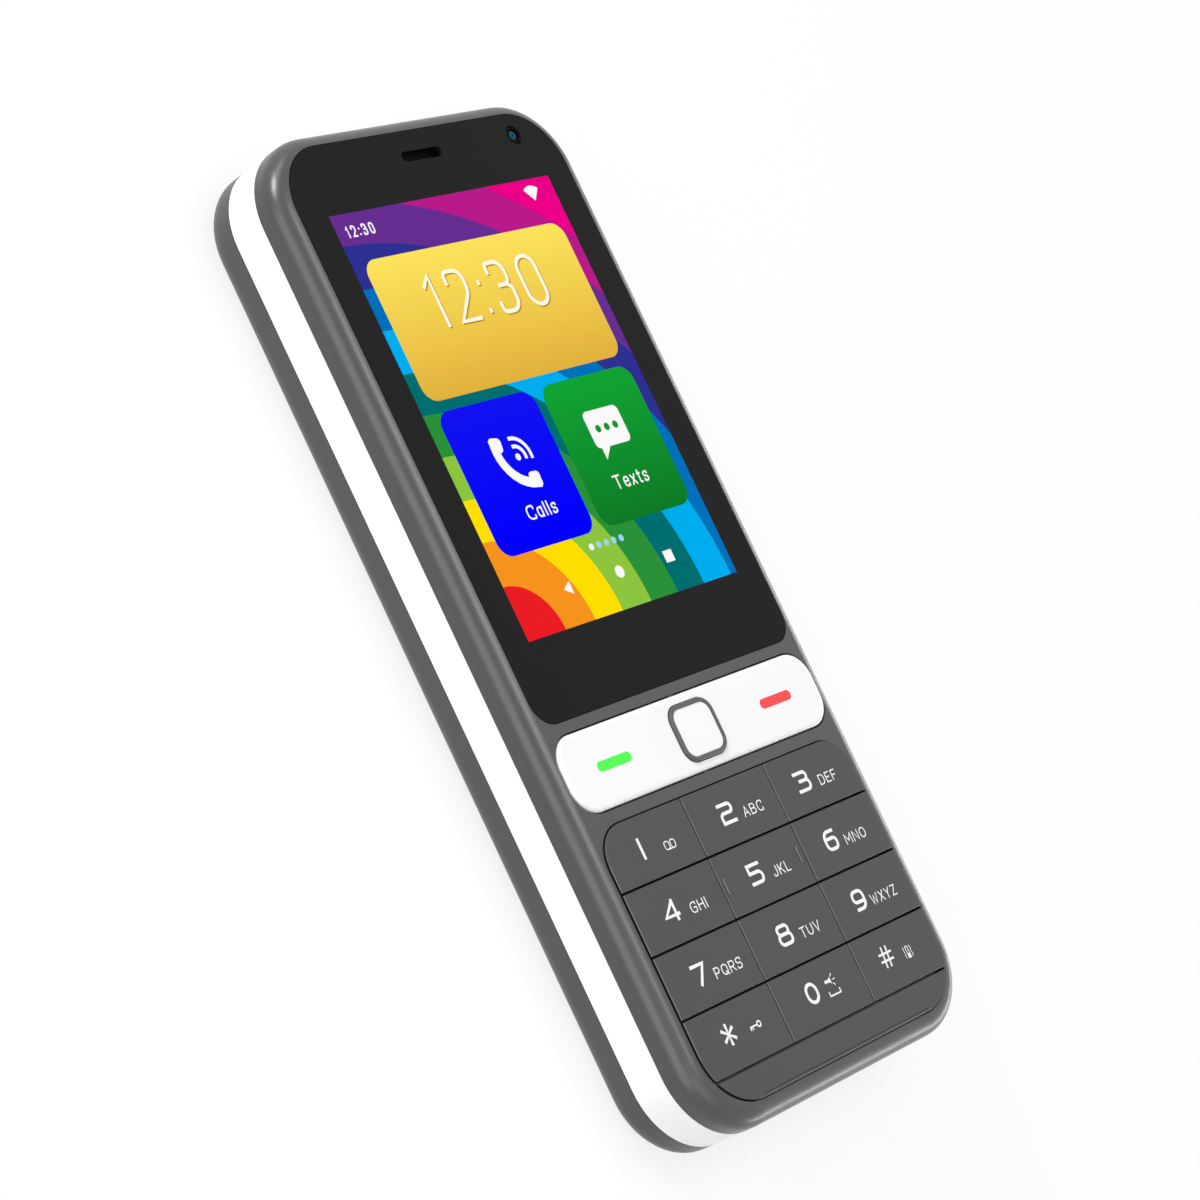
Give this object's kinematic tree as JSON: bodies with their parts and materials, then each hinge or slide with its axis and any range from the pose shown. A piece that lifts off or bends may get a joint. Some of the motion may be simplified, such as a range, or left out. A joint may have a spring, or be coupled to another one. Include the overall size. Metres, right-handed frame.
{
  "type": "feature phone",
  "caption": "Bar-shaped feature phone with a touch display, a rocker bar with a home key, a number keypad, a pale middle band and a lift-off back cover.",
  "frame": {"origin": "middle of the flat back of the phone, on the surface that it lies on", "axes": "+Z out of the screen, +Y from the keypad to the earpiece, +X to the right side as the screen is read"},
  "size_m": [0.0575, 0.1314, 0.0147],
  "materials": {
    "body_grey": "satin moulded",
    "band_white": "gloss moulded",
    "key_grey": "satin moulded",
    "lens_black": "polished, printed black from behind",
    "gasket_black": "foam",
    "panel_dark": "polished",
    "tray_white": "moulded",
    "steel": "stamped",
    "module_black": "moulded",
    "camera_glass": "polished",
    "bar_white": "gloss moulded",
    "mark_green": "gloss insert",
    "mark_red": "gloss insert",
    "ring_grey": "satin",
    "silicone": "moulded",
    "board_green": "laminate",
    "brass": "stamped",
    "torch_clear": "frosted"
  },
  "bodies": {
    "back_cover": {"battery_cover": "body_grey", "camera_bezel": "steel", "camera_window": "camera_glass", "torch_window": "torch_clear"},
    "handset": {"front_housing": "body_grey", "mid_frame": "band_white", "display_lens": "lens_black", "lens_gasket": "gasket_black", "display_panel": "panel_dark", "display_backlight": "tray_white", "earpiece_mesh": "steel", "earpiece": "module_black", "front_camera": "module_black", "front_camera_window": "camera_glass", "keypad_trim": "key_grey", "keypad_mat": "silicone", "key_domes": "steel", "side_switches": "steel", "main_board": "board_green", "shield_cans": "steel", "battery": "module_black", "battery_contacts": "brass", "card_holder": "steel", "loudspeaker": "module_black", "speaker_gasket": "gasket_black", "vibration_motor": "steel", "rear_camera": "module_black", "torch_led": "tray_white", "usb_socket": "steel", "audio_jack": "module_black", "microphone": "module_black", "antenna_strip": "brass", "case_screws": "steel"},
    "call_end_bar": {"call_end_bar": "bar_white", "call_mark": "mark_green", "end_mark": "mark_red"},
    "home_key": {"home_pad": "bar_white", "home_ring": "ring_grey"},
    "volume_rocker": {"volume_rocker": "key_grey"},
    "key_1": {"key_1": "key_grey"},
    "key_2": {"key_2": "key_grey"},
    "key_3": {"key_3": "key_grey"},
    "key_4": {"key_4": "key_grey"},
    "key_5": {"key_5": "key_grey"},
    "key_6": {"key_6": "key_grey"},
    "key_7": {"key_7": "key_grey"},
    "key_8": {"key_8": "key_grey"},
    "key_9": {"key_9": "key_grey"},
    "key_star": {"key_star": "key_grey"},
    "key_0": {"key_0": "key_grey"},
    "key_hash": {"key_hash": "key_grey"}
  },
  "joints": [
    {"name": "cover_lift", "type": "slide", "parent": "back_cover", "child": "handset", "axis": [0, 0, 1], "range_m": [0, 0.03]},
    {"name": "bar_rock", "type": "hinge", "parent": "handset", "child": "call_end_bar", "pos_m": [0, -0.01946, 0.0126], "axis": [0, 1, 0], "range_deg": [-0.5, 0.5], "stiffness_Nm_per_rad": 2.5},
    {"name": "home_press", "type": "slide", "parent": "handset", "child": "home_key", "axis": [0, 0, -1], "range_m": [0, 0.0003], "stiffness_N_per_m": 4000},
    {"name": "volume_rock", "type": "hinge", "parent": "handset", "child": "volume_rocker", "pos_m": [0.0262, 0.03, 0.0075], "axis": [0, 0, 1], "range_deg": [-1.2, 1.2], "stiffness_Nm_per_rad": 0.4},
    {"name": "key_1_press", "type": "slide", "parent": "handset", "child": "key_1", "axis": [0, 0, -1], "range_m": [0, 0.0003], "stiffness_N_per_m": 4000},
    {"name": "key_2_press", "type": "slide", "parent": "handset", "child": "key_2", "axis": [0, 0, -1], "range_m": [0, 0.0003], "stiffness_N_per_m": 4000},
    {"name": "key_3_press", "type": "slide", "parent": "handset", "child": "key_3", "axis": [0, 0, -1], "range_m": [0, 0.0003], "stiffness_N_per_m": 4000},
    {"name": "key_4_press", "type": "slide", "parent": "handset", "child": "key_4", "axis": [0, 0, -1], "range_m": [0, 0.0003], "stiffness_N_per_m": 4000},
    {"name": "key_5_press", "type": "slide", "parent": "handset", "child": "key_5", "axis": [0, 0, -1], "range_m": [0, 0.0003], "stiffness_N_per_m": 4000},
    {"name": "key_6_press", "type": "slide", "parent": "handset", "child": "key_6", "axis": [0, 0, -1], "range_m": [0, 0.0003], "stiffness_N_per_m": 4000},
    {"name": "key_7_press", "type": "slide", "parent": "handset", "child": "key_7", "axis": [0, 0, -1], "range_m": [0, 0.0003], "stiffness_N_per_m": 4000},
    {"name": "key_8_press", "type": "slide", "parent": "handset", "child": "key_8", "axis": [0, 0, -1], "range_m": [0, 0.0003], "stiffness_N_per_m": 4000},
    {"name": "key_9_press", "type": "slide", "parent": "handset", "child": "key_9", "axis": [0, 0, -1], "range_m": [0, 0.0003], "stiffness_N_per_m": 4000},
    {"name": "key_star_press", "type": "slide", "parent": "handset", "child": "key_star", "axis": [0, 0, -1], "range_m": [0, 0.0003], "stiffness_N_per_m": 4000},
    {"name": "key_0_press", "type": "slide", "parent": "handset", "child": "key_0", "axis": [0, 0, -1], "range_m": [0, 0.0003], "stiffness_N_per_m": 4000},
    {"name": "key_hash_press", "type": "slide", "parent": "handset", "child": "key_hash", "axis": [0, 0, -1], "range_m": [0, 0.0003], "stiffness_N_per_m": 4000}
  ]
}
